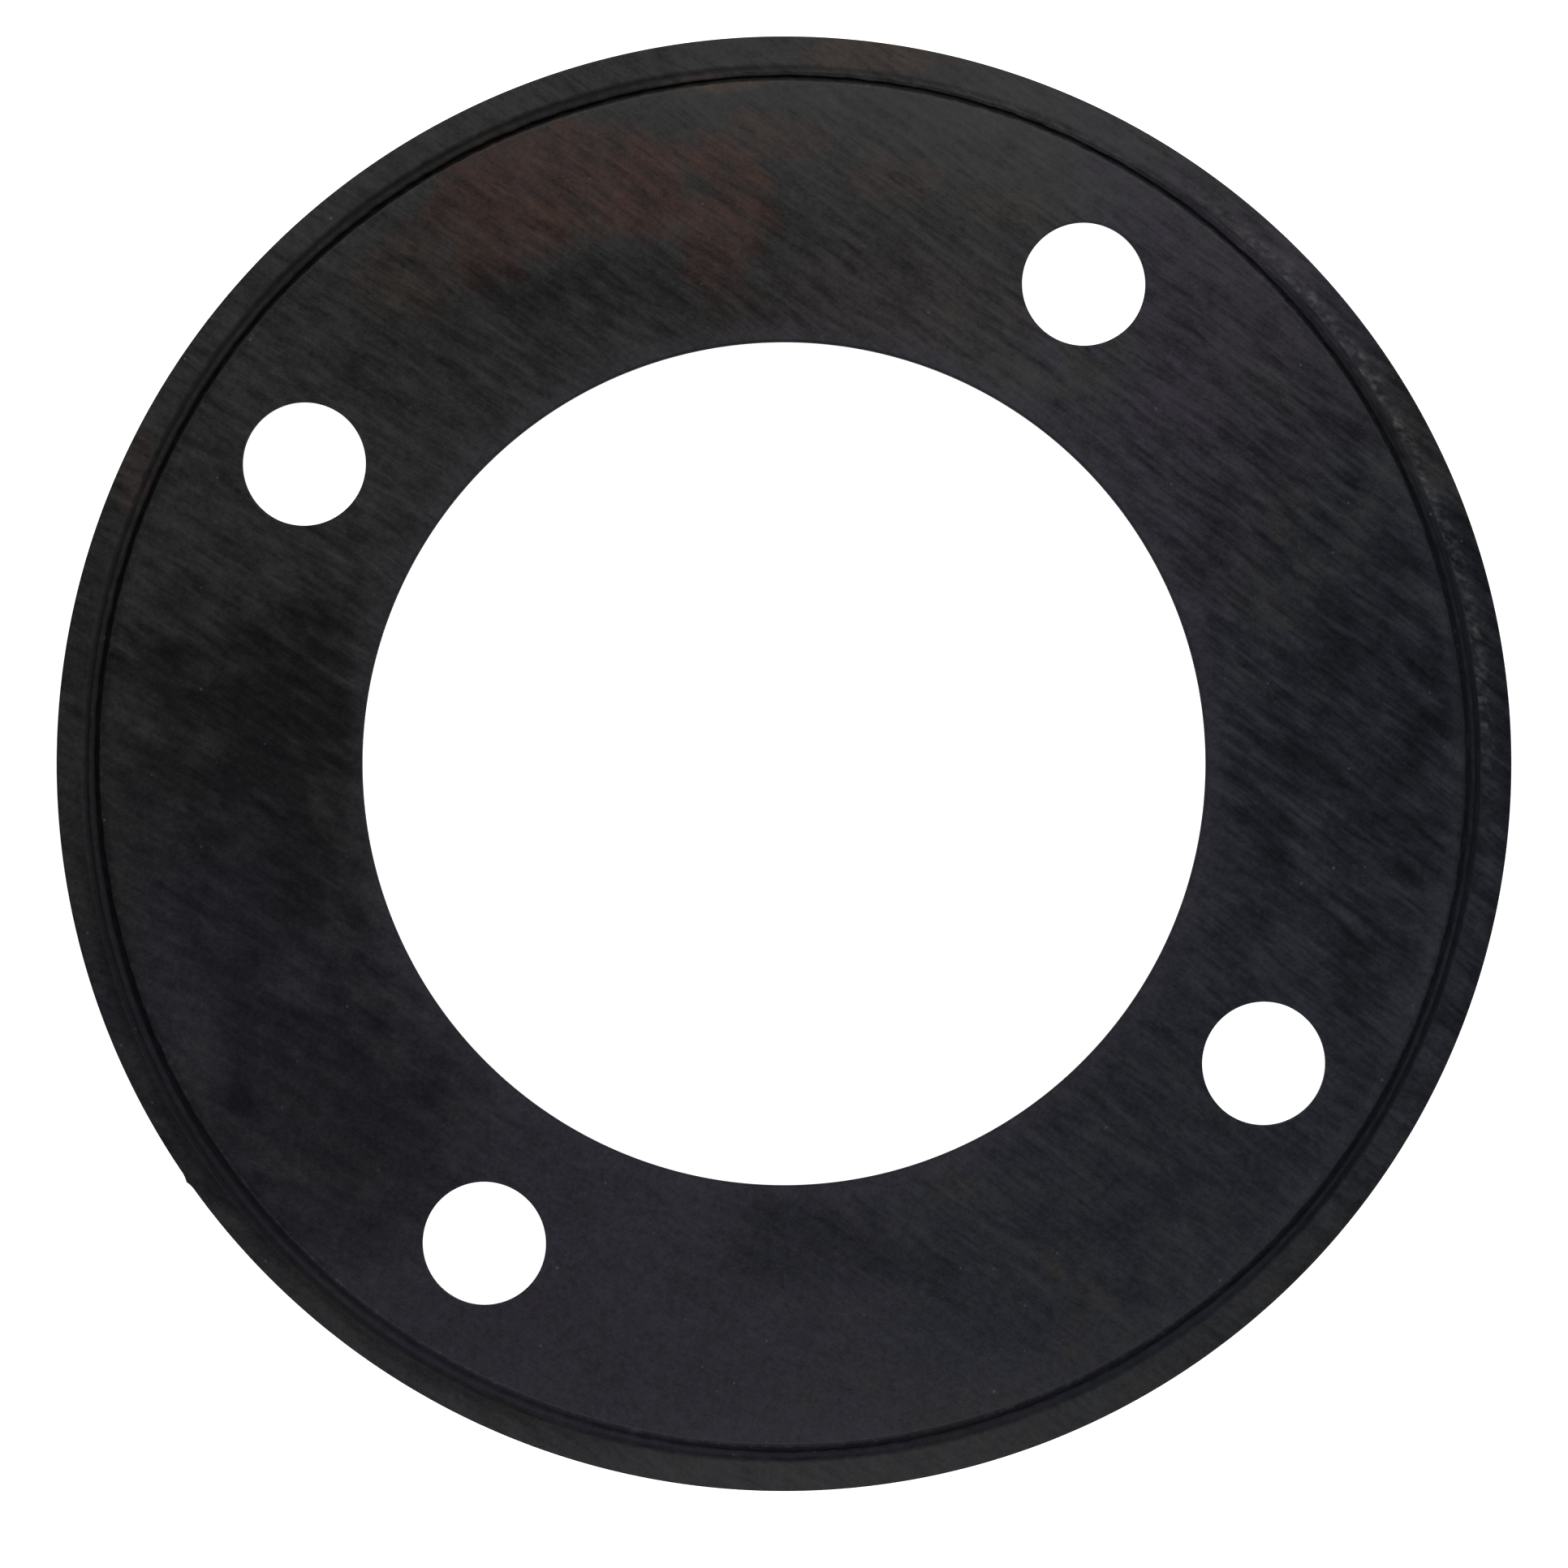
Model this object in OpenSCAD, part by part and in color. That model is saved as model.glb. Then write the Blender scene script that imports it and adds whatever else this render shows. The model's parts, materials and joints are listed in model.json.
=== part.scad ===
// Rubber flange gasket: a flat moulded ring, clamped between two bolted flanges.
// The sealing face carries a stepped groove close to the outer edge, which leaves a narrow
// rim. Seen in section from the face outwards, the groove is a deep slot, a low rounded bead
// and a fine crease.
// The underside lies on Z = 0, +Z points out of the sealing face, and the bore's axis is Z.

/* [Ring] */
// Diameter of the central bore
bore_d = 58; // [30:0.5:120]
// Radial width of the flange, from the bore to the outer edge
flange_w = 21; // [17:0.5:40]
// Thickness, from the underside to the sealing face
thickness = 3; // [2:0.1:8]
// Radius on the top and bottom edges of the bore
bore_edge_r = 0.2; // [0.05:0.05:0.8]
// Radius on the top and bottom edges of the outside
outer_edge_r = 0.3; // [0.05:0.05:0.8]

/* [Bolt holes] */
// Number of bolt holes, evenly spaced
bolt_count = 4; // [2:1:12]
// Diameter of each bolt hole
bolt_hole_d = 8.5; // [4:0.1:13]
// Rubber left between each bolt hole and the groove
bolt_land_w = 3.9; // [1:0.1:8]
// Angle from the X axis to the first hole, anticlockwise from above
bolt_angle = 58; // [0:1:90]
// Radius on the top and bottom edges of each bolt hole
bolt_edge_r = 0.12; // [0.02:0.02:0.6]

/* [Rim groove] */
// Width of the rim outside the groove
rim_w = 1.95; // [1:0.05:4]
// Width of the deep slot beside the sealing face
slot_w = 0.45; // [0.2:0.05:1.2]
// Depth of the slot below the sealing face
slot_depth = 1.1; // [0.9:0.05:1.7]
// Width of the bead that stands between the slot and the crease
bead_w = 0.4; // [0.2:0.05:1]
// Drop from the sealing face to the bead's crown
bead_drop = 0.12; // [0:0.02:0.3]
// Width of the crease beside the rim
crease_w = 0.15; // [0.1:0.01:0.5]
// Depth of the crease below the sealing face
crease_depth = 0.45; // [0.35:0.05:1]
// Radius on the two upper edges of the groove
groove_edge_r = 0.1; // [0.02:0.02:0.3]

/* [Hidden] */
$fn = 240;
// How far a cut runs past the surface that it opens
past = 0.05;

// Radii of the section, worked outwards from the bore
bore_r = bore_d / 2;
outer_r = bore_r + flange_w;
rim_r = outer_r - rim_w;
crease_r = rim_r - crease_w;
bead_r = crease_r - bead_w;
slot_r = bead_r - slot_w;
bolt_circle_r = slot_r - bolt_land_w - bolt_hole_d / 2;

// What a round of radius r takes off a corner at the origin, with the solid towards +X and +Y
module round_off(r) {
    difference() {
        translate([-past, -past]) square(r + past);
        translate([r, r]) circle(r);
    }
}

// The same round on the underside and on the face, at radius at_r. The solid lies outside it
module round_both(at_r, r) {
    translate([at_r, 0]) round_off(r);
    translate([at_r, thickness]) mirror([0, 1]) round_off(r);
}

// A slot in section: straight sides, a round bottom and an open top on the sealing face
module slot_section(at_r, w, depth) {
    translate([at_r, thickness - depth + w / 2]) square([w, depth - w / 2 + past]);
    translate([at_r + w / 2, thickness - depth + w / 2]) circle(w / 2);
}

// Room over the bead: down to the middle of its round crown, without the crown itself
module bead_room_section() {
    crown_r = bead_w / 2;
    middle_z = thickness - bead_drop - crown_r;
    difference() {
        translate([bead_r, middle_z]) square([bead_w, bead_drop + crown_r + past]);
        translate([bead_r + crown_r, middle_z]) circle(crown_r);
    }
}

// The stepped groove: slot, bead and crease, with its two upper edges eased
module rim_groove_section() {
    slot_section(slot_r, slot_w, slot_depth);
    bead_room_section();
    slot_section(crease_r, crease_w, crease_depth);
    translate([slot_r, thickness]) rotate(180) round_off(groove_edge_r);
    translate([rim_r, thickness]) mirror([0, 1]) round_off(groove_edge_r);
}

// Half section of the ring, from the bore to the outer edge
module ring_section() {
    difference() {
        translate([bore_r, 0]) square([flange_w, thickness]);
        round_both(bore_r, bore_edge_r);
        translate([outer_r, 0]) mirror([1, 0]) round_both(0, outer_edge_r);
        rim_groove_section();
    }
}

// One bolt hole on the Z axis, with its two edges eased
module bolt_hole() {
    hole_r = bolt_hole_d / 2;
    rotate_extrude() {
        translate([0, -past]) square([hole_r, thickness + 2 * past]);
        round_both(hole_r, bolt_edge_r);
    }
}

module gasket() {
    color("#2b2b2d")
    difference() {
        rotate_extrude() ring_section();
        for (i = [0 : bolt_count - 1])
            rotate(bolt_angle + i * 360 / bolt_count) translate([bolt_circle_r, 0, 0]) bolt_hole();
    }
}

gasket();
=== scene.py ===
import bisect
import json
import math
from types import SimpleNamespace

import bmesh
import bpy
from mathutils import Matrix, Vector, noise


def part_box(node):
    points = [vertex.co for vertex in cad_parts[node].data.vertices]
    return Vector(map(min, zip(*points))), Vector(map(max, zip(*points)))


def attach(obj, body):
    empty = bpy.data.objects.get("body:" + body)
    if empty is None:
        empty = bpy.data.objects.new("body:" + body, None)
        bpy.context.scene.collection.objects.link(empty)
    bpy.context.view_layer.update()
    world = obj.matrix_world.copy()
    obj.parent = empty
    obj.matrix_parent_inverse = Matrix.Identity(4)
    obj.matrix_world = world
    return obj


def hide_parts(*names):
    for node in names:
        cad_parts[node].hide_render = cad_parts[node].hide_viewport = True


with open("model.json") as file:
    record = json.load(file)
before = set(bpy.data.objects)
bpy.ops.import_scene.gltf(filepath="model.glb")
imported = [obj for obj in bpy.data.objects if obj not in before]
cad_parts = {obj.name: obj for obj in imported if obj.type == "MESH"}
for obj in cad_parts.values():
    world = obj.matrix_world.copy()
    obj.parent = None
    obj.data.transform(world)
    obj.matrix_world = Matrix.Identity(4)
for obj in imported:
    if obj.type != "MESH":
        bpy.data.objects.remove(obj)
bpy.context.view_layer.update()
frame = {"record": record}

# ---------------------------------------------------------------- sizes, in metres
MM = 0.001
MOUNTS = {mount["name"]: mount["dims"] for mount in frame["record"]["mounts"]}
LOW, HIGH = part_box("gasket")
UNDERSIDE = LOW.z
FACE = HIGH.z
OUTER_R = (HIGH.y - LOW.y) / 2
BORE_R = MOUNTS["bore"]["r_mm"] * MM
HOLE_R = MOUNTS["bolt_circle"]["hole_r_mm"] * MM
BOLT_CIRCLE_R = MOUNTS["bolt_circle"]["pcd_mm"] / 2 * MM
BOLT_COUNT = MOUNTS["bolt_circle"]["count"]
# Anticlockwise from +X, as bolt_angle is in the part's source
FIRST_BOLT = math.radians(58)

# Radii of the moulded edges
BORE_EDGE = 0.2 * MM
OUTER_EDGE = 0.1 * MM
HOLE_EDGE = 0.12 * MM

# The nib of flash on the outer wall. It moves only a strip of the ring, beside the wall
NIB_STRIP = 0.5 * MM
NIB_ANGLE = math.radians(-145)
NIB_WIDTH = 0.7 * MM
NIB_HEIGHT = 0.14 * MM

# The ring is spun as short wedges, which are then repeated round the axis
WEDGES = 48
WEDGE_STEPS = 30
HOLE_STEPS = 96
ROUND_STEPS = 3

WELD = 1e-7

# A face whose normal is at least this upright is level
LEVEL_NORMAL = 0.999999

# ---------------------------------------------------------------- the stepped groove
# Two sections of it, as (distance from the middle of its slot, depth), in mm and from the face
# outwards. Both rows go down the slot, over the low bead, down the fine crease and up to the
# rim. The groove is sharp and deep at the left, and soft and shallow at the bottom and the right
SLOT_R = OUTER_R - 2.725 * MM
SHARP_GROOVE = [
    (-0.30, 0.00), (-0.23, 0.012), (-0.18, 0.05), (-0.15, 0.13), (-0.135, 0.40), (-0.11, 0.68),
    (-0.06, 0.86), (0.00, 0.92), (0.06, 0.86), (0.11, 0.68), (0.15, 0.42), (0.21, 0.24),
    (0.29, 0.16), (0.38, 0.13), (0.46, 0.14), (0.53, 0.17), (0.59, 0.22), (0.65, 0.28),
    (0.71, 0.30), (0.77, 0.25), (0.83, 0.15), (0.89, 0.07), (0.96, 0.03), (1.06, 0.00),
]
SOFT_GROOVE = [
    (-0.44, 0.00), (-0.36, 0.015), (-0.28, 0.05), (-0.22, 0.10), (-0.17, 0.18), (-0.12, 0.29),
    (-0.06, 0.38), (0.00, 0.41), (0.06, 0.39), (0.12, 0.32), (0.19, 0.24), (0.26, 0.19),
    (0.33, 0.175), (0.40, 0.17), (0.46, 0.18), (0.51, 0.20), (0.55, 0.22), (0.59, 0.235),
    (0.63, 0.24), (0.67, 0.21), (0.72, 0.14), (0.77, 0.07), (0.85, 0.02), (0.95, 0.00),
]
BEAD_START = 8
BEAD_CROWN = 13

# No point of the groove is deeper than this, and past it a wall isn't part of the groove
GROOVE_REACH = 1.2 * MM

# Shallow parts of the groove have less ragged edges. They are fully ragged from this depth, in mm
RAGGED_DEPTH = 0.12

# How the groove changes round the ring, for swell(): the angle of the middle of a stretch, in
# degrees from +X, and the cosines of the angle from it at which a change starts and is complete
SOFT_AT_BOTTOM = (262, 0.1, 0.9)
SOFT_AT_LOWER_RIGHT = (335, 0.3, 0.9)
SOFT_AT_TOP_RIGHT = (60, 0.5, 0.95)
WIDE_AT_LOWER_LEFT = (215, 0.75, 1.0)
SHALLOW_AT_LOWER_LEFT = (240, 0.85, 1.0)
SHALLOW_AT_TOP_RIGHT = (68, 0.6, 1.0)
CREASE_FAINT = (52, 0.65, 0.95)
CREASE_DEEP = (345, 0.75, 1.0)
CREASE_SHALLOW = (298, 0.9, 1.0)
BEAD_HIGH = (14, 0.4, 0.95)
BEAD_LOW_AT_LEFT = (150, 0.3, 0.9)
BEAD_LOW_AT_BOTTOM = (270, 0.8, 1.0)

# How ragged the groove's edges are: size in mm, spacing in mm and seed of each row of bumps
RAGGED_SLOT = ((0.06, 1.0, 2), (0.04, 0.5, 3))
RAGGED_BEAD = ((0.06, 1.3, 4), (0.04, 0.5, 5))
RAGGED_CREASE = ((0.05, 1.1, 6), (0.03, 0.5, 7))

# ---------------------------------------------------------------- the buffed face
# How the belt marked the face: angle from +X, how much the marks bow, per mm, and how far and at
# what spacing they waver, in mm
BELT_ANGLE = math.radians(-34.5)
BELT_BOW = 0.0008
WAVER_REACH = 0.9
WAVER_SPACING = 6

# The belt marks: length and width in mm, detail and strength
BELT_MARKS = [
    (2.2, 0.27, 1.0, 0.62),
    (3.6, 0.62, 1.0, 0.88),
    (4.0, 1.30, 1.0, 0.50),
]
# The grain and the cloudiness of the rubber: size in mm, detail and strength
GRAIN = [
    (0.16, 1.0, 0.74),
    (0.42, 1.0, 0.72),
    (1.00, 1.0, 0.48),
    (5.50, 2.0, 0.40),
]
# Where the belt marks grow stronger or weaker: direction, start of the change in mm, and change
MARK_CHANGES = [
    (math.radians(28), 14.0, 0.36),
    (math.radians(233), 10.0, -0.54),
]
MARK_CHANGE_END = 38.0
RIM_CONTRAST = 0.75

# Radii of the bands round the ring, in mm, from where each starts to where it is complete
LIP = (31.1, 29.3)
SHELF = (45.2, 46.4)
SHELF_END = 47.3
RIM_START = 47.9
SKIRT = (48.8, 49.9)
HEM_SHADE = (49.5, 48.2)
FLECKS = (49.1, 48.3)
# The same, measured from the middle of the slot
SLOT_SHADE = (-0.85, -0.35)
SLOT_SHADE_END = 0.3
CRUMB_LINE = 0.34
CRUMB_SPREAD = (0.22, 0.04)

# How much paler or darker these bands make the rubber. The lip and the shelf are painted
# highlights, and the hem and the band along the slot are painted shade
LIP_HIGHLIGHT_TONE = 0.17
SHELF_HIGHLIGHT_TONE = 0.20
SKIRT_TONE = -0.20
HEM_SHADE_TONE = -0.40
SLOT_SHADE_TONE = -0.24

# Parts of the ring along X and Y, in mm, from where each starts to where it is complete
RIGHT_X = (15.0, 42.0)
SLOT_SHADE_X = (18.0, 42.0)
TOP_Y = (30.0, 44.0)
BARE_Y = (-20.0, -36.0)
BLUER_Y = (30.0, -10.0)
# The same for parts in one direction: the direction in radians, and the start and end in mm
HEM_SHADE_SIDE = (3.87, 36.0, 45.0)
FLECK_SIDE = (0.45, 40.0, 46.0)

# Depths past either face at which the rubber turns matt, and at which it is all mould skin, painted
# darker as shade, in mm
MATT_DEPTH = (0.002, 0.02)
SKIN_AND_SHADE_DEPTH = (0.10, 0.26)

# Specks of dust: how many cells lie along a mm, each with one speck at most, and largest radius
SPECK_CELLS = 0.9
SPECK_R = 0.13

# Patches darker or paler, in mm: centre, reach and change of tone. They are partly wear and partly
# painted light: painted sheen towards the top and bottom, and painted shade at the left and right
WEAR_AND_LIGHT_PATCHES = [
    ((-34.0, 4.5), (6.0, 7.0), -0.32),
    ((-41.0, 5.5), (4.0, 7.0), -0.30),
    ((-36.0, -8.0), (7.0, 14.0), -0.32),
    ((-31.0, -24.0), (8.0, 8.0), -0.30),
    ((-31.0, -4.0), (4.0, 9.0), -0.18),
    ((-41.0, -3.0), (3.5, 7.0), -0.12),
    ((-29.5, -30.0), (4.0, 4.0), -0.10),
    ((-25.0, -28.0), (6.0, 6.0), -0.14),
    ((-46.0, -14.0), (3.5, 18.0), -0.16),
    ((-42.0, -26.0), (3.5, 4.0), -0.22),
    ((-36.0, -33.5), (4.0, 3.5), -0.10),
    ((-47.5, 11.0), (3.0, 9.0), -0.10),
    ((-9.0, 33.5), (10.0, 3.5), -0.32),
    ((-22.0, 31.0), (10.0, 7.0), -0.22),
    ((-2.0, 38.5), (6.0, 4.0), -0.08),
    ((40.0, 3.0), (6.0, 18.0), -0.26),
    ((35.0, 22.0), (4.0, 9.0), -0.12),
    ((47.5, 2.0), (4.0, 18.0), -0.32),
    ((33.0, 8.0), (5.0, 12.0), -0.16),
    ((32.5, -7.0), (3.5, 8.0), -0.12),
    ((46.0, 17.0), (4.0, 6.0), -0.10),
    ((39.0, -15.0), (2.5, 3.0), -0.20),
    ((30.0, -24.0), (14.0, 14.0), -0.16),
    ((2.0, -33.0), (9.0, 4.0), -0.22),
    ((14.5, -35.0), (9.0, 5.0), -0.14),
    ((17.0, -45.0), (7.0, 4.0), 0.10),
    ((16.0, 27.0), (8.0, 5.0), 0.34),
    ((3.0, 45.5), (14.0, 4.5), 0.40),
    ((20.0, 43.0), (10.0, 6.0), 0.60),
    ((0.0, -49.0), (18.0, 4.0), 0.28),
    ((34.5, 35.5), (5.0, 4.0), 0.30),
    ((43.0, 23.5), (3.5, 4.5), -0.22),
    ((-13.0, 47.5), (6.0, 2.5), -0.22),
    ((-5.5, 46.6), (3.5, 0.6), 0.40),
    ((31.0, 8.5), (3.0, 4.0), 0.12),
    ((39.5, 10.5), (4.0, 4.0), -0.10),
    ((-33.0, -9.0), (4.0, 4.0), -0.10),
    ((-22.0, -22.5), (3.5, 3.5), -0.10),
    ((-8.0, -31.5), (4.0, 3.0), 0.10),
    ((-8.0, 31.0), (4.0, 2.5), -0.08),
    ((0.5, 36.0), (5.0, 3.0), -0.08),
    ((26.0, 25.5), (4.0, 4.0), 0.09),
    ((-31.0, 18.5), (4.0, 4.0), -0.10),
]

# The bluish bloom and the rusty stains, in mm: colour, centre, reach and strength
BLOOM = [
    ("#1d1b23", (-10.0, -34.0), (32.0, 21.0), 0.9),
    ("#1d1b22", (-38.0, -14.0), (11.0, 13.0), 0.8),
    ("#191b22", (52.0, -14.0), (46.0, 46.0), 1.0),
    ("#191b22", (8.0, -33.0), (15.0, 9.0), 0.6),
    ("#1d1b22", (27.0, 21.0), (9.0, 11.0), 0.7),
    ("#1d1a21", (31.0, 34.0), (13.0, 12.0), 0.7),
]
STAINS = [
    ("#2a1a16", (-13.0, 39.8), (9.3, 4.4), 0.62),
    ("#291a15", (-19.5, 36.5), (6.0, 3.8), 0.55),
    ("#2a1a15", (-4.6, 36.6), (4.3, 5.4), 0.60),
    ("#2a1a16", (-8.5, 38.8), (4.0, 3.6), 0.50),
    ("#271c18", (-1.5, 43.0), (4.2, 1.7), 0.42),
    ("#261e1a", (-26.0, 33.3), (3.8, 3.2), 0.50),
    ("#271e1a", (7.0, 40.0), (3.5, 1.8), 0.38),
    ("#271f1b", (15.5, 38.0), (3.5, 1.6), 0.30),
    ("#1f1b1b", (5.0, 32.0), (12.0, 4.0), 0.60),
    ("#2a1f1a", (7.0, 48.8), (5.0, 1.4), 0.50),
    ("#281f1b", (-44.5, 20.0), (1.5, 4.0), 0.45),
    ("#2a211c", (-5.0, 46.7), (3.5, 0.5), 0.45),
]

# How deep the belt marks and the grain are
RELIEF = 0.012 * MM

# Colours of the rubber itself and of what lies on it
CARBON_BLACK = "#1b1b1b"
BORE_BLOOM = "#1d1b22"
BARE_RIM = "#1c1c1b"
MOULD_SKIN = "#171822"
DUST = "#8c8a84"
CRUMBS = "#696763"

# ---------------------------------------------------------------- studio
WHITE = (1, 1, 1, 1)
FLOOR_HALF = 3
FLOOR_GAP = 0.02 * MM
FLOOR_PAPER = "#d0d0d0"
FLOOR_GLOW = 0.93
WORLD_LIGHT = 0.09
# Name, place, size and power of each lamp
LAMPS = [
    ("upper_softbox", (0.012, 0.10, 0.10), (0.20, 0.05), 0.235),
    ("lower_softbox", (0.005, -0.10, 0.10), (0.20, 0.05), 0.155),
]
CAMERA_HEIGHT = 1.5
CAMERA_SENSOR = 36
CAMERA_CLIP = 20
# The gasket's width, and how far its centre lies above the middle, as shares of the picture
GASKET_SHARE = 0.928
GASKET_ABOVE = 0.01294


# ---------------------------------------------------------------- mesh helpers
def spun(name, corners, wedges, wedge_steps):
    """A closed solid of revolution about Z, from (radius, height, round) corners in order."""
    bm = bmesh.new()
    verts = [bm.verts.new((radius, 0, height)) for radius, height, _ in corners]
    bm.faces.new(verts)
    for vert, (_, _, round_r) in zip(verts, corners):
        if round_r:
            bmesh.ops.bevel(
                bm, geom=[vert], offset=round_r, offset_type="OFFSET", segments=ROUND_STEPS,
                profile=0.5, affect="VERTICES", material=-1,
            )
    bmesh.ops.remove_doubles(bm, verts=bm.verts[:], dist=WELD)
    bmesh.ops.delete(bm, geom=bm.faces[:], context="FACES_ONLY")
    wedge = 2 * math.pi / wedges
    bmesh.ops.spin(
        bm, geom=bm.verts[:] + bm.edges[:], cent=(0, 0, 0), axis=(0, 0, 1), dvec=(0, 0, 0),
        angle=wedge, steps=wedge_steps,
    )
    bmesh.ops.spin(
        bm, geom=bm.verts[:] + bm.edges[:] + bm.faces[:], cent=(0, 0, 0), axis=(0, 0, 1),
        dvec=(0, 0, 0), angle=2 * math.pi - wedge, steps=wedges - 1, use_duplicate=True,
    )
    bmesh.ops.remove_doubles(bm, verts=bm.verts[:], dist=WELD)
    bmesh.ops.recalc_face_normals(bm, faces=bm.faces[:])
    return linked(name, bm)


def linked(name, bm):
    """A new object in the scene from a bmesh, which it uses up."""
    mesh = bpy.data.meshes.new(name)
    bm.to_mesh(mesh)
    bm.free()
    made = bpy.data.objects.new(name, mesh)
    bpy.context.scene.collection.objects.link(made)
    return made


def cut(target, cutter):
    """Takes the cutter out of the target for good, and deletes the cutter."""
    modifier = target.modifiers.new("cut", "BOOLEAN")
    modifier.operation = "DIFFERENCE"
    modifier.solver = "EXACT"
    modifier.object = cutter
    settled = target.evaluated_get(bpy.context.evaluated_depsgraph_get())
    mesh = bpy.data.meshes.new_from_object(settled)
    target.modifiers.clear()
    target.data = mesh
    bpy.data.objects.remove(cutter)


def shade(target):
    """Smooth shading, but with a sharp line round each level face, so that it shades dead flat."""
    bm = bmesh.new()
    bm.from_mesh(target.data)
    for face in bm.faces:
        face.smooth = True
    for edge in bm.edges:
        level = {abs(face.normal.z) > LEVEL_NORMAL for face in edge.link_faces}
        edge.smooth = len(level) == 1
    bm.to_mesh(target.data)
    bm.free()


def bumps(at, spacing, seed):
    """Smooth unevenness of about -1 to 1 at a point, whose bumps are a given spacing apart."""
    return noise.noise(Vector((at.x / spacing, at.y / spacing, seed)))


def swell(angle, middle, start, end):
    """1 at the middle angle and 0 far from it. It rises where the cosine goes from start to end."""
    level = (math.cos(angle - math.radians(middle)) - start) / (end - start)
    level = min(1, max(0, level))
    return level * level * (3 - 2 * level)


# ---------------------------------------------------------------- the gasket
def ring_corners():
    groove = [(SLOT_R + across * MM, FACE - depth * MM, 0) for across, depth in SHARP_GROOVE]
    return [
        (BORE_R, UNDERSIDE, BORE_EDGE),
        (OUTER_R, UNDERSIDE, OUTER_EDGE),
        (OUTER_R, FACE, OUTER_EDGE),
        *reversed(groove),
        (BORE_R, FACE, BORE_EDGE),
    ]


def bolt_hole_plugs():
    """A plug for each bolt hole, flared at both faces so that it leaves the hole's edges eased."""
    past = 0.5 * MM
    flare = HOLE_R + HOLE_EDGE
    corners = [
        (0, UNDERSIDE - past, 0),
        (flare, UNDERSIDE - past, 0),
        (flare, UNDERSIDE, 0),
        (HOLE_R, UNDERSIDE, HOLE_EDGE),
        (HOLE_R, FACE, HOLE_EDGE),
        (flare, FACE, 0),
        (flare, FACE + past, 0),
        (0, FACE + past, 0),
    ]
    plug = spun("bolt_plugs", corners, 1, HOLE_STEPS)
    bm = bmesh.new()
    for index in range(BOLT_COUNT):
        angle = FIRST_BOLT + index * 2 * math.pi / BOLT_COUNT
        centre = Vector((math.cos(angle), math.sin(angle), 0)) * BOLT_CIRCLE_R
        already = len(bm.verts)
        bm.from_mesh(plug.data)
        bm.verts.ensure_lookup_table()
        bmesh.ops.translate(bm, verts=bm.verts[already:], vec=centre)
    bm.to_mesh(plug.data)
    bm.free()
    return plug


def groove_point(index, at, angle):
    """One point of the groove's section, as (distance from the slot's middle, depth), in mm."""
    soft = max(
        swell(angle, *SOFT_AT_BOTTOM),
        0.7 * swell(angle, *SOFT_AT_LOWER_RIGHT),
        0.25 * swell(angle, *SOFT_AT_TOP_RIGHT),
    )
    wide = swell(angle, *WIDE_AT_LOWER_LEFT)
    low_left = swell(angle, *SHALLOW_AT_LOWER_LEFT)
    sharp_across, sharp_depth = SHARP_GROOVE[index]
    soft_across, soft_depth = SOFT_GROOVE[index]
    across = sharp_across + soft * (soft_across - sharp_across)
    depth = sharp_depth + soft * (soft_depth - sharp_depth)
    share = min(1, depth / RAGGED_DEPTH)
    depth *= (1 - 0.37 * swell(angle, *SHALLOW_AT_TOP_RIGHT)) * (1 - 0.45 * low_left)
    depth *= 1 + 0.25 * bumps(at, 0.9 * MM, 8)
    if index > BEAD_CROWN:
        faint = swell(angle, *CREASE_FAINT)
        across += 0.13 * wide - 0.13 * faint
        depth *= 1 - 0.55 * faint + 0.5 * low_left
        depth *= 1 + 0.5 * swell(angle, *CREASE_DEEP) - 0.2 * swell(angle, *CREASE_SHALLOW)
        ragged = RAGGED_CREASE
    elif index >= BEAD_START:
        across += 0.04 * wide
        depth -= min(0.10, 0.8 * depth) * share * swell(angle, *BEAD_HIGH)
        low = max(swell(angle, *BEAD_LOW_AT_LEFT), swell(angle, *BEAD_LOW_AT_BOTTOM))
        depth += 0.03 * share * low
        ragged = RAGGED_BEAD
    else:
        ragged = RAGGED_SLOT
    for size, spacing, seed in ragged:
        across += share * size * bumps(at, spacing * MM, seed)
    return across, depth


def groove_wander(at, angle):
    """How far out the groove wanders, in mm: it lies off-centre, and further out by each bolt."""
    wander = -0.08 - 0.11 * math.cos(angle) + 0.03 * math.cos(5 * angle)
    wander += 0.06 * math.cos(BOLT_COUNT * (angle - FIRST_BOLT))
    return wander + 0.03 * bumps(at, 14 * MM, 1)


def shape_groove(target):
    """The groove isn't even: it changes from sharp to soft round the ring, and it wanders."""
    nominal = [SLOT_R + across * MM for across, _ in SHARP_GROOVE]
    for vert in target.data.vertices:
        at = vert.co
        radius = math.hypot(at.x, at.y)
        if at.z < FACE - GROOVE_REACH or not nominal[0] - WELD < radius < nominal[-1] + WELD:
            continue
        index = bisect.bisect(nominal, radius - WELD)
        angle = math.atan2(at.y, at.x)
        across, depth = groove_point(index, at, angle)
        scale = (SLOT_R + (across + groove_wander(at, angle)) * MM) / radius
        at.x *= scale
        at.y *= scale
        at.z = FACE - depth * MM


def raise_nib(target):
    """The nib of flash left on the outer wall, where the mould was filled."""
    for vert in target.data.vertices:
        at = vert.co
        radius = math.hypot(at.x, at.y)
        if radius < OUTER_R - NIB_STRIP:
            continue
        off = (math.atan2(at.y, at.x) - NIB_ANGLE + math.pi) % (2 * math.pi) - math.pi
        share = max(0, 1 - abs(off) * OUTER_R / NIB_WIDTH)
        scale = 1 + share * share * NIB_HEIGHT / radius
        at.x *= scale
        at.y *= scale


def make_gasket():
    """The whole gasket, in one moulded piece."""
    made = spun("gasket_body", ring_corners(), WEDGES, WEDGE_STEPS)
    shape_groove(made)
    raise_nib(made)
    cut(made, bolt_hole_plugs())
    shade(made)
    return made


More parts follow.
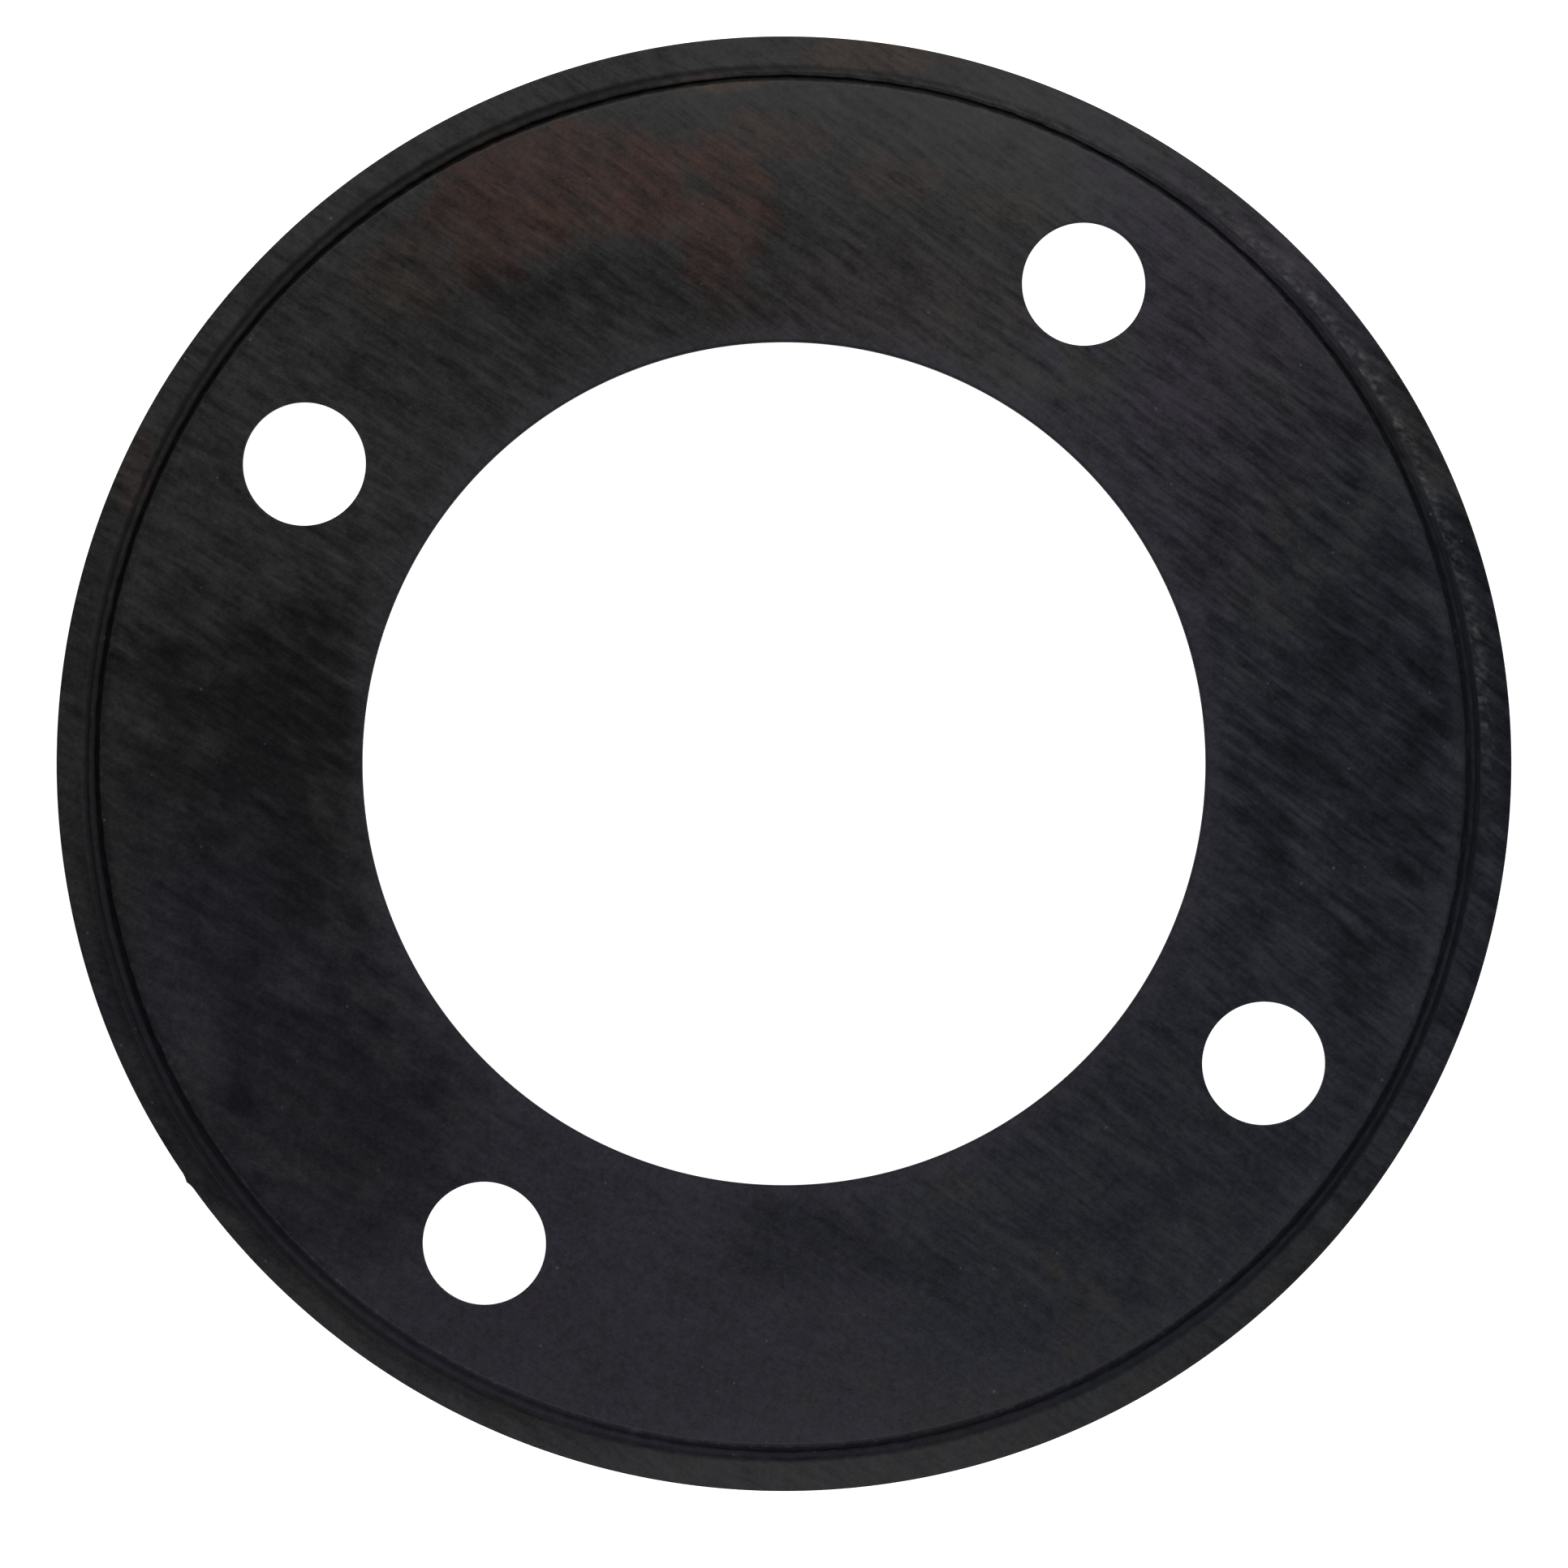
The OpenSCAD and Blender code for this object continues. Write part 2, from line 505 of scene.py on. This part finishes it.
# ---------------------------------------------------------------- materials
def linear(hex_colour):
    """An sRGB hex value as a linear colour."""
    parts = [int(hex_colour[i:i + 2], 16) / 255 for i in (1, 3, 5)]
    return [p / 12.92 if p <= 0.04045 else ((p + 0.055) / 1.055) ** 2.4 for p in parts] + [1]


def add(tree, kind, inputs, out=0, **settings):
    """Adds a node and returns one of its outputs. An input is a value, or a socket to link."""
    made = tree.nodes.new(kind)
    for name, value in settings.items():
        setattr(made, name, value)
    for name, value in inputs.items():
        if isinstance(value, bpy.types.NodeSocket):
            tree.links.new(value, made.inputs[name])
        else:
            made.inputs[name].default_value = value
    return made.outputs[out] if len(made.outputs) else None


def new_material(name):
    material = bpy.data.materials.new(name)
    material.use_nodes = True
    material.node_tree.nodes.clear()
    return material, material.node_tree


def positions(tree):
    """Where a point of the gasket lies, in mm, and whether that is on the upper half or the rim."""
    at = SimpleNamespace()
    place = add(tree, "ShaderNodeTexCoord", {}, out="Object")
    at.mm = add(tree, "ShaderNodeVectorMath", {0: place, "Scale": 1 / MM}, operation="SCALE")
    at.x, at.y, at.z = (
        add(tree, "ShaderNodeSeparateXYZ", {0: at.mm}, out=axis) for axis in "XYZ"
    )
    level = add(tree, "ShaderNodeVectorMath", {0: at.mm, 1: (1, 1, 0)}, operation="MULTIPLY")
    at.radius = add(tree, "ShaderNodeVectorMath", {0: level}, out="Value", operation="LENGTH")
    at.from_slot = add(
        tree, "ShaderNodeMath", {0: at.radius, 1: SLOT_R / MM}, operation="SUBTRACT",
    )

    # The underside is buffed as the face is, but has neither groove nor rim, and no stains
    at.upper = add(tree, "ShaderNodeMath", {0: at.z, 1: FACE / MM / 2}, operation="GREATER_THAN")
    on_rim = add(tree, "ShaderNodeMath", {0: at.radius, 1: RIM_START}, operation="GREATER_THAN")
    at.on_rim = add(tree, "ShaderNodeMath", {0: on_rim, 1: at.upper}, operation="MULTIPLY")
    at.right = add(
        tree, "ShaderNodeMapRange", {"Value": at.x, 1: RIGHT_X[0], 2: RIGHT_X[1], 3: 0.0, 4: 1.0},
        interpolation_type="SMOOTHSTEP",
    )
    return at


def face_noise(tree, at):
    """The grain and the belt marks: two lists of (noise, strength), each with the finest first."""
    # The marks bow slightly from one side of the ring to the other, and waver
    x_squared = add(tree, "ShaderNodeMath", {0: at.x, 1: at.x}, operation="MULTIPLY")
    bowed_y = add(
        tree, "ShaderNodeMath", {0: x_squared, 1: BELT_BOW, 2: at.y}, operation="MULTIPLY_ADD",
    )
    slow = {"Vector": at.mm, "Scale": 1 / WAVER_SPACING, "Detail": 1.0, "Roughness": 0.5}
    waver = add(tree, "ShaderNodeTexNoise", slow)
    bowed_y = add(
        tree, "ShaderNodeMath", {0: waver, 1: WAVER_REACH, 2: bowed_y}, operation="MULTIPLY_ADD",
    )
    bowed = add(tree, "ShaderNodeCombineXYZ", {"X": at.x, "Y": bowed_y, "Z": at.z})

    grain = []
    for size, detail, strength in GRAIN:
        spots = {"Vector": at.mm, "Scale": 1 / size, "Detail": detail, "Roughness": 0.55}
        grain.append((add(tree, "ShaderNodeTexNoise", spots), strength))
    marks = []
    for length, width, detail, strength in BELT_MARKS:
        grid = add(
            tree, "ShaderNodeMapping",
            {"Vector": bowed, "Rotation": (0, 0, BELT_ANGLE), "Scale": (length, width, width)},
            vector_type="TEXTURE",
        )
        streaks = {"Vector": grid, "Scale": 1.0, "Detail": detail, "Roughness": 0.55}
        marks.append((add(tree, "ShaderNodeTexNoise", streaks), strength))
    return grain, marks


def summed(tree, layers):
    """Layers of noise added up by their strengths, to an average of about 0."""
    total = -sum(strength for _, strength in layers) / 2
    for value, strength in layers:
        total = add(
            tree, "ShaderNodeMath", {0: value, 1: strength, 2: total}, operation="MULTIPLY_ADD",
        )
    return total


def towards(tree, at, direction, start, full, amount):
    """0 up to the start, in mm from the axis in one direction, and rising to the amount."""
    along = (math.cos(direction), math.sin(direction), 0)
    out = add(
        tree, "ShaderNodeVectorMath", {0: at.mm, 1: along}, out="Value", operation="DOT_PRODUCT",
    )
    return add(
        tree, "ShaderNodeMapRange", {"Value": out, 1: start, 2: full, 3: 0.0, 4: amount},
        interpolation_type="SMOOTHSTEP",
    )


def patch(tree, at, ragged, centre, reach, inside, outside):
    """A soft spot: 1 up to the share inside of its reach, and 0 from the share outside."""
    spread = Vector((1 / reach[0], 1 / reach[1], 0))
    shift = Vector((-centre[0] / reach[0], -centre[1] / reach[1], 0))
    near = add(
        tree, "ShaderNodeVectorMath", {0: at.mm, 1: spread, 2: shift}, operation="MULTIPLY_ADD",
    )
    near = add(tree, "ShaderNodeVectorMath", {0: near}, out="Value", operation="LENGTH")
    near = add(tree, "ShaderNodeMath", {0: near, 1: ragged}, operation="ADD")
    return add(
        tree, "ShaderNodeMapRange", {"Value": near, 1: outside, 2: inside, 3: 0.0, 4: 1.0},
        interpolation_type="SMOOTHSTEP",
    )


def smooth_highlight_bands(tree, at):
    """Smoother bands beside the bore and, on the right and top, beside the groove, which are also
    painted paler as a highlight.
    """
    lip = add(
        tree, "ShaderNodeMapRange", {"Value": at.radius, 1: LIP[0], 2: LIP[1], 3: 0.0, 4: 1.0},
        interpolation_type="SMOOTHSTEP",
    )
    shelf = add(
        tree, "ShaderNodeMapRange", {"Value": at.radius, 1: SHELF[0], 2: SHELF[1], 3: 0.0, 4: 1.0},
        interpolation_type="SMOOTHSTEP",
    )
    off_rim = add(tree, "ShaderNodeMath", {0: at.radius, 1: SHELF_END}, operation="LESS_THAN")
    top = add(
        tree, "ShaderNodeMapRange", {"Value": at.y, 1: TOP_Y[0], 2: TOP_Y[1], 3: 0.0, 4: 0.8},
    )
    top = add(tree, "ShaderNodeMath", {0: top, 1: at.right}, operation="MAXIMUM")
    for share in (off_rim, top, at.upper):
        shelf = add(tree, "ShaderNodeMath", {0: shelf, 1: share}, operation="MULTIPLY")
    return lip, shelf


def mark_contrast(tree, at, lip, shelf):
    """How much the belt marks show: most across the middle, and least at the bottom left."""
    off_middle = add(
        tree, "ShaderNodeMath", {0: at.y, 1: 1 / 40, 2: -0.25}, operation="MULTIPLY_ADD",
    )
    off_middle = add(tree, "ShaderNodeMath", {0: off_middle, 1: 2.0}, operation="POWER")
    contrast = add(
        tree, "ShaderNodeMath", {0: off_middle, 1: -0.38, 2: 1.32}, operation="MULTIPLY_ADD",
    )
    for direction, start, change in MARK_CHANGES:
        side = towards(tree, at, direction, start, MARK_CHANGE_END, change)
        contrast = add(tree, "ShaderNodeMath", {0: contrast, 1: side}, operation="ADD")

    # The rim keeps some of its marks all the way round
    least = add(tree, "ShaderNodeMath", {0: at.on_rim, 1: RIM_CONTRAST}, operation="MULTIPLY")
    contrast = add(tree, "ShaderNodeMath", {0: contrast, 1: least}, operation="MAXIMUM")

    smooth = add(tree, "ShaderNodeMath", {0: lip, 1: shelf}, operation="MAXIMUM")
    smooth = add(tree, "ShaderNodeMath", {0: smooth, 1: -0.5, 2: 1.0}, operation="MULTIPLY_ADD")
    return add(tree, "ShaderNodeMath", {0: contrast, 1: smooth}, operation="MULTIPLY")


def wear_and_light_tone(tree, at, ragged, lip, shelf):
    """How pale the rubber is beside its usual tone, where it is worn, and where highlights, sheen
    and shade are painted into it.
    """
    # The outer half of the rim is darker on the right
    skirt = add(
        tree, "ShaderNodeMapRange", {"Value": at.radius, 1: SKIRT[0], 2: SKIRT[1], 3: 0.0, 4: 1.0},
        interpolation_type="SMOOTHSTEP",
    )
    for share in (at.right, at.on_rim):
        skirt = add(tree, "ShaderNodeMath", {0: skirt, 1: share}, operation="MULTIPLY")

    # The inner half of the rim is darker at the lower left, as painted shade of a rim that slopes
    # down inwards there
    hem_shade = add(
        tree, "ShaderNodeMapRange", {"Value": at.radius, 1: HEM_SHADE[0], 2: HEM_SHADE[1], 3: 0.0, 4: 1.0},
        interpolation_type="SMOOTHSTEP",
    )
    for share in (at.on_rim, towards(tree, at, *HEM_SHADE_SIDE, 1.0)):
        hem_shade = add(tree, "ShaderNodeMath", {0: hem_shade, 1: share}, operation="MULTIPLY")

    wear_and_light = 1.0
    # The lip and the shelf are painted highlights, and the hem is painted shade
    bands = ((lip, LIP_HIGHLIGHT_TONE), (shelf, SHELF_HIGHLIGHT_TONE), (skirt, SKIRT_TONE), (hem_shade, HEM_SHADE_TONE))
    for band, change in bands:
        wear_and_light = add(tree, "ShaderNodeMath", {0: band, 1: change, 2: wear_and_light}, operation="MULTIPLY_ADD")

    # Painted shade lies along the slot and the face beside it, on the left and right
    slot_shade = add(
        tree, "ShaderNodeMapRange", {"Value": at.from_slot, 1: SLOT_SHADE[0], 2: SLOT_SHADE[1], 3: 0.0, 4: 1.0},
        interpolation_type="SMOOTHSTEP",
    )
    sides = add(tree, "ShaderNodeMath", {0: at.x}, operation="ABSOLUTE")
    sides = add(
        tree, "ShaderNodeMapRange",
        {"Value": sides, 1: SLOT_SHADE_X[0], 2: SLOT_SHADE_X[1], 3: 0.0, 4: SLOT_SHADE_TONE},
        interpolation_type="SMOOTHSTEP",
    )
    for share in (sides, at.upper):
        slot_shade = add(tree, "ShaderNodeMath", {0: slot_shade, 1: share}, operation="MULTIPLY")
    in_slot = add(tree, "ShaderNodeMath", {0: at.from_slot, 1: SLOT_SHADE_END}, operation="LESS_THAN")
    wear_and_light = add(tree, "ShaderNodeMath", {0: slot_shade, 1: in_slot, 2: wear_and_light}, operation="MULTIPLY_ADD")

    # Patches of wear, and of painted sheen and painted shade
    for centre, reach, change in WEAR_AND_LIGHT_PATCHES:
        spot = patch(tree, at, ragged, centre, reach, 0.2, 1.5)
        wear_and_light = add(tree, "ShaderNodeMath", {0: spot, 1: change, 2: wear_and_light}, operation="MULTIPLY_ADD")
    return add(tree, "ShaderNodeMath", {0: wear_and_light, 1: 0.5}, operation="MAXIMUM")


def stained_colour(tree, at, ragged, middle_marks):
    """The rubber's colour with its bloom, and with stains that the belt dragged into streaks."""
    dragged = add(
        tree, "ShaderNodeMath", {0: middle_marks, 1: 1.8, 2: 0.1}, operation="MULTIPLY_ADD",
    )
    dragged = add(tree, "ShaderNodeMath", {0: dragged, 1: at.upper}, operation="MULTIPLY")
    colour = linear(CARBON_BLACK)
    for tints, inside, outside, streaks in ((BLOOM, 0.45, 1.35, 1.0), (STAINS, 0.6, 1.2, dragged)):
        for tint, centre, reach, strength in tints:
            spot = patch(tree, at, ragged, centre, reach, inside, outside)
            spot = add(tree, "ShaderNodeMath", {0: spot, 1: strength}, operation="MULTIPLY")
            spot = add(
                tree, "ShaderNodeMath", {0: spot, 1: streaks}, operation="MULTIPLY", use_clamp=True,
            )
            colour = add(
                tree, "ShaderNodeMix", {0: spot, 6: colour, 7: linear(tint)}, out=2,
                data_type="RGBA",
            )
    return colour


def dusted(tree, at, base_colour, coarse_grain):
    """A colour with specks of dust, crumbs beside the slot and chipped flecks on the rim."""
    # Single specks of dust, in a part of the cells
    cells = {"Vector": at.mm, "Scale": SPECK_CELLS}
    from_speck = add(tree, "ShaderNodeTexVoronoi", cells, out="Distance")
    pick = add(tree, "ShaderNodeTexVoronoi", cells, out="Color")
    pick = add(tree, "ShaderNodeSeparateColor", {0: pick})
    speck_r = add(
        tree, "ShaderNodeMapRange", {"Value": pick, 1: 0.6, 2: 1.0, 3: 0.0, 4: SPECK_R},
    )
    dust = add(tree, "ShaderNodeMath", {0: speck_r, 1: from_speck}, operation="SUBTRACT")
    dust = add(tree, "ShaderNodeMath", {0: dust, 1: 1.5}, operation="MULTIPLY", use_clamp=True)

    # Pale crumbs caught on the face beside the slot, more in some places than in others
    beside = add(tree, "ShaderNodeMath", {0: at.from_slot, 1: CRUMB_LINE}, operation="ADD")
    beside = add(tree, "ShaderNodeMath", {0: beside}, operation="ABSOLUTE")
    beside = add(
        tree, "ShaderNodeMapRange",
        {"Value": beside, 1: CRUMB_SPREAD[0], 2: CRUMB_SPREAD[1], 3: 0.0, 4: 1.0},
        interpolation_type="SMOOTHSTEP",
    )
    clusters = add(
        tree, "ShaderNodeMapRange", {"Value": coarse_grain, 1: 0.35, 2: 0.65, 3: 0.2, 4: 1.0},
    )
    grit = {"Vector": at.mm, "Scale": 2.8, "Detail": 1.0, "Roughness": 0.5}
    crumbs = add(tree, "ShaderNodeTexNoise", grit)
    crumbs = add(tree, "ShaderNodeMapRange", {"Value": crumbs, 1: 0.50, 2: 0.80, 3: 0.0, 4: 0.13})
    for share in (beside, at.upper, clusters):
        crumbs = add(tree, "ShaderNodeMath", {0: crumbs, 1: share}, operation="MULTIPLY")

    # Chipped flecks along the rim's inner edge, on the right
    edge = add(
        tree, "ShaderNodeMapRange",
        {"Value": at.radius, 1: FLECKS[0], 2: FLECKS[1], 3: 0.0, 4: 1.0},
        interpolation_type="SMOOTHSTEP",
    )
    grid = add(
        tree, "ShaderNodeMapping",
        {"Vector": at.mm, "Rotation": (0, 0, BELT_ANGLE), "Scale": (0.60, 0.36, 0.36)},
        vector_type="TEXTURE",
    )
    chips = {"Vector": grid, "Scale": 1.0, "Detail": 1.0, "Roughness": 0.5}
    flecks = add(tree, "ShaderNodeTexNoise", chips)
    flecks = add(tree, "ShaderNodeMapRange", {"Value": flecks, 1: 0.42, 2: 0.78, 3: 0.0, 4: 0.34})
    for share in (clusters, edge, at.on_rim, towards(tree, at, *FLECK_SIDE, 1.0)):
        flecks = add(tree, "ShaderNodeMath", {0: flecks, 1: share}, operation="MULTIPLY")

    for share, tint in ((dust, DUST), (crumbs, CRUMBS), (flecks, CRUMBS)):
        base_colour = add(
            tree, "ShaderNodeMix", {0: share, 6: base_colour, 7: linear(tint)}, out=2,
            data_type="RGBA",
        )
    return base_colour


def buffed_nitrile_rubber():
    """Nitrile rubber filled with carbon black, moulded and then buffed flat on a belt.

    The buffed faces and the rim are near black and dull, with fine marks that slant across them.
    The groove and the walls, which the belt can't reach, keep the matt skin of the mould, which is
    painted blacker with depth as shade. Highlights beside the bore and the groove, shade on the rim
    and along the slot, and sheen and shade in patches are also painted into the colour.
    """
    material, tree = new_material("buffed_nitrile_rubber")
    at = positions(tree)
    grain, marks = face_noise(tree, at)
    grain_sum = summed(tree, grain)
    mark_sum = summed(tree, marks)
    (fine_grain, _), _, (coarse_grain, _), (cloudiness, _) = grain
    (fine_marks, _), (middle_marks, _), (broad_marks, _) = marks
    lip, shelf = smooth_highlight_bands(tree, at)

    # Pale marks stand out more than dark ones
    contrast = mark_contrast(tree, at, lip, shelf)
    texture = add(
        tree, "ShaderNodeMath", {0: mark_sum, 1: contrast, 2: grain_sum}, operation="MULTIPLY_ADD",
    )
    rise = add(tree, "ShaderNodeMath", {0: texture, 1: 0.35, 2: 1.0}, operation="MULTIPLY_ADD")
    texture = add(tree, "ShaderNodeMath", {0: texture, 1: rise}, operation="MULTIPLY")

    # The patches of wear and painted light, and the stains, have ragged outlines
    ragged = add(
        tree, "ShaderNodeMath", {0: cloudiness, 1: 1.6, 2: -0.8}, operation="MULTIPLY_ADD",
    )
    ragged = add(
        tree, "ShaderNodeMath", {0: broad_marks, 1: 0.9, 2: ragged}, operation="MULTIPLY_ADD",
    )
    ragged = add(tree, "ShaderNodeMath", {0: ragged, 1: 0.45}, operation="SUBTRACT")
    wear_and_light = wear_and_light_tone(tree, at, ragged, lip, shelf)
    tone = add(tree, "ShaderNodeMath", {0: wear_and_light, 1: texture, 2: wear_and_light}, operation="MULTIPLY_ADD")
    tone = add(tree, "ShaderNodeMath", {0: tone, 1: 0.25}, operation="MAXIMUM")

    # The belt can't reach past either face, where the mould skin is matt. The skin is painted
    # blacker with depth, as shade in the groove and on the walls
    depth = add(tree, "ShaderNodeMath", {0: FACE / MM, 1: at.z}, operation="SUBTRACT")
    depth = add(tree, "ShaderNodeMath", {0: depth, 1: at.z}, operation="MINIMUM")
    matt, skin_and_shade = (
        add(tree, "ShaderNodeMapRange", {"Value": depth, 1: start, 2: full, 3: 0.0, 4: 1.0})
        for start, full in (MATT_DEPTH, SKIN_AND_SHADE_DEPTH)
    )
    skin_shade_tone = add(
        tree, "ShaderNodeMath", {0: grain_sum, 1: 0.45, 2: 0.5}, operation="MULTIPLY_ADD",
    )
    tone = add(
        tree, "ShaderNodeMix", {0: skin_and_shade, 2: tone, 3: skin_shade_tone}, out=0, data_type="FLOAT",
    )

    # The bloom also lies along the bore, and has worn off the lower rim. The mould skin is bluer
    # than the faces, except at the top
    colour = stained_colour(tree, at, ragged, middle_marks)
    along_bore = add(tree, "ShaderNodeMath", {0: lip, 1: 0.5}, operation="MULTIPLY")
    bare, bluer = (
        add(tree, "ShaderNodeMapRange", {"Value": at.y, 1: start, 2: full, 3: 0.0, 4: most})
        for (start, full), most in ((BARE_Y, 0.5), (BLUER_Y, 0.6))
    )
    bare = add(tree, "ShaderNodeMath", {0: at.on_rim, 1: bare}, operation="MULTIPLY")
    bluer = add(tree, "ShaderNodeMath", {0: bluer, 1: skin_and_shade}, operation="MULTIPLY")
    for share, tint in ((along_bore, BORE_BLOOM), (bare, BARE_RIM), (bluer, MOULD_SKIN)):
        colour = add(
            tree, "ShaderNodeMix", {0: share, 6: colour, 7: linear(tint)}, out=2,
            data_type="RGBA",
        )
    base_colour = add(tree, "ShaderNodeVectorMath", {0: colour, "Scale": tone}, operation="SCALE")
    base_colour = dusted(tree, at, base_colour, coarse_grain)

    rough = add(tree, "ShaderNodeMath", {0: tone, 1: 0.25, 2: 0.23}, operation="MULTIPLY_ADD")
    rough = add(tree, "ShaderNodeMix", {0: matt, 2: rough, 3: 0.95}, out=0, data_type="FLOAT")
    height = add(
        tree, "ShaderNodeMath", {0: fine_grain, 1: 0.5, 2: fine_marks}, operation="MULTIPLY_ADD",
    )
    relief = {"Height": height, "Strength": 1.0, "Distance": RELIEF}
    bump = add(tree, "ShaderNodeBump", relief)
    shader = add(
        tree, "ShaderNodeBsdfPrincipled",
        {
            "Base Color": base_colour, "Roughness": rough, "Normal": bump,
            "IOR": 1.5, "Specular IOR Level": 0.16,
        },
    )
    add(tree, "ShaderNodeOutputMaterial", {"Surface": shader})
    return material


# ---------------------------------------------------------------- floor, lamps and camera
def make_floor():
    """A plain pale floor. It looks white to the camera, and still keeps the gasket's shadow."""
    bm = bmesh.new()
    bmesh.ops.create_grid(bm, x_segments=1, y_segments=1, size=FLOOR_HALF)
    floor = linked("floor", bm)
    floor.location.z = UNDERSIDE - FLOOR_GAP

    material, tree = new_material("pale_floor_paper")
    camera_ray, glossy_ray, through_ray = (
        add(tree, "ShaderNodeLightPath", {}, out=f"Is {ray} Ray")
        for ray in ("Camera", "Glossy", "Transmission")
    )
    seen = add(tree, "ShaderNodeMath", {0: camera_ray, 1: glossy_ray}, operation="MAXIMUM")
    seen = add(tree, "ShaderNodeMath", {0: seen, 1: through_ray}, operation="MAXIMUM")
    paper = add(tree, "ShaderNodeBsdfDiffuse", {"Color": linear(FLOOR_PAPER)})
    glow = add(tree, "ShaderNodeEmission", {"Color": WHITE, "Strength": FLOOR_GLOW})
    white = add(tree, "ShaderNodeAddShader", {0: paper, 1: glow})
    surface = add(tree, "ShaderNodeMixShader", {0: seen, 1: paper, 2: white})
    add(tree, "ShaderNodeOutputMaterial", {"Surface": surface})
    floor.data.materials.append(material)


def add_lamp(name, at, size, power):
    """A soft box that faces the gasket's centre."""
    lamp = bpy.data.lights.new(name, "AREA")
    lamp.shape = "RECTANGLE"
    lamp.size, lamp.size_y = size
    lamp.energy = power
    made = bpy.data.objects.new(name, lamp)
    made.location = at
    made.rotation_euler = (-Vector(at)).to_track_quat("-Z", "Y").to_euler()
    made.visible_camera = False
    bpy.context.scene.collection.objects.link(made)


def make_world():
    """An even pale studio round the object, which the camera sees as white."""
    world = bpy.data.worlds.new("studio")
    world.use_nodes = True
    tree = world.node_tree
    tree.nodes.clear()
    seen = add(tree, "ShaderNodeLightPath", {}, out="Is Camera Ray")
    level = add(tree, "ShaderNodeMix", {0: seen, 2: WORLD_LIGHT, 3: 1.0}, data_type="FLOAT")
    sky = add(tree, "ShaderNodeBackground", {"Color": WHITE, "Strength": level})
    add(tree, "ShaderNodeOutputWorld", {"Surface": sky})
    bpy.context.scene.world = world


def make_camera():
    """A long lens straight above the gasket, which fills 93% of the picture's width."""
    camera = bpy.data.objects.new("camera", bpy.data.cameras.new("camera"))
    picture = 2 * OUTER_R / GASKET_SHARE
    camera.data.sensor_width = CAMERA_SENSOR
    camera.data.lens = CAMERA_SENSOR * (CAMERA_HEIGHT - FACE) / picture
    camera.location = (0, -GASKET_ABOVE * picture, CAMERA_HEIGHT)
    camera.data.clip_end = CAMERA_CLIP
    bpy.context.scene.collection.objects.link(camera)
    bpy.context.scene.camera = camera


# ---------------------------------------------------------------- the scene
gasket = make_gasket()
gasket.data.materials.append(buffed_nitrile_rubber())
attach(gasket, "root")
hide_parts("gasket")

make_floor()
for lamp in LAMPS:
    add_lamp(*lamp)
make_world()
make_camera()
bpy.context.scene.view_settings.view_transform = "Standard"
